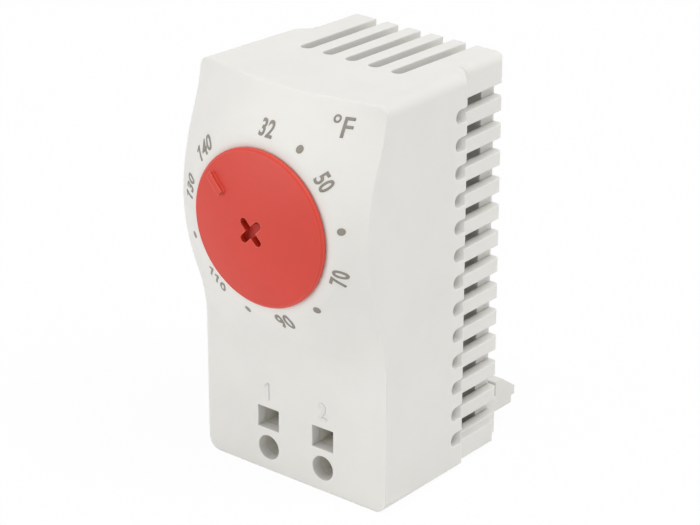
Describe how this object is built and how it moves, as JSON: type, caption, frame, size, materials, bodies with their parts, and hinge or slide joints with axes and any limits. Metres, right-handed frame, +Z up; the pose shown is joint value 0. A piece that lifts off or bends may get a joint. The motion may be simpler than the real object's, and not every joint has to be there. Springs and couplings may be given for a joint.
{
  "type": "bimetal thermostat",
  "caption": "Rail-mounted bimetal thermostat for an enclosure: vented grey housing with a domed red setting dial, clamp terminals and a snap-action contact.",
  "frame": {"origin": "on the flat bottom, at mid width, 10 mm behind the lower front face", "axes": "+Z up, the dial and terminals face -Y, the rail clip faces +Y"},
  "size_m": [0.033, 0.0455, 0.0612],
  "materials": {
    "housing_plastic": "fine moulded texture",
    "base_plastic": "fine moulded texture",
    "dial_plastic": "satin moulded",
    "brass": "turned",
    "spring_steel": "rolled",
    "ceramic": "unglazed",
    "frame_steel": "zinc plated",
    "ferrite": "ground",
    "carrier_plastic": "moulded",
    "bimetal": "rolled",
    "contact_silver": "pressed",
    "copper": "tinned edges"
  },
  "bodies": {
    "case": {"housing": "housing_plastic", "rear_base": "base_plastic", "spindle_bush": "brass", "mechanism_frame": "frame_steel", "frame_screws": "frame_steel", "snap_magnet": "ferrite", "contact_carrier": "carrier_plastic", "strip_bracket": "brass", "bracket_rivets": "brass", "fixed_contact": "contact_silver", "terminal_bar_1": "copper", "terminal_bar_2": "copper", "clamp_spring_1": "spring_steel", "clamp_spring_2": "spring_steel"},
    "dial": {"setting_dial": "dial_plastic", "dial_spindle": "brass", "retaining_ring": "spring_steel", "friction_washer": "spring_steel"},
    "pin": {"setting_pin": "ceramic"},
    "strip": {"bimetal_strip": "bimetal", "moving_contact": "contact_silver"}
  },
  "joints": [
    {"name": "dial_turn", "type": "hinge", "parent": "case", "child": "dial", "pos_m": [0, -0.01, 0.0418], "axis": [0, -1, 0], "range_deg": [-4, 305]},
    {"name": "pin_travel", "type": "slide", "parent": "case", "child": "pin", "axis": [0, 1, 0], "range_m": [-0.00086, 0.00002]},
    {"name": "contact_snap", "type": "hinge", "parent": "case", "child": "strip", "pos_m": [0, 0.008, 0.0242], "axis": [-1, 0, 0], "range_deg": [0, 2]}
  ],
  "couplings": [
    {"joint": "pin_travel", "follows": "dial_turn", "m_per_rad": -0.00015915}
  ]
}
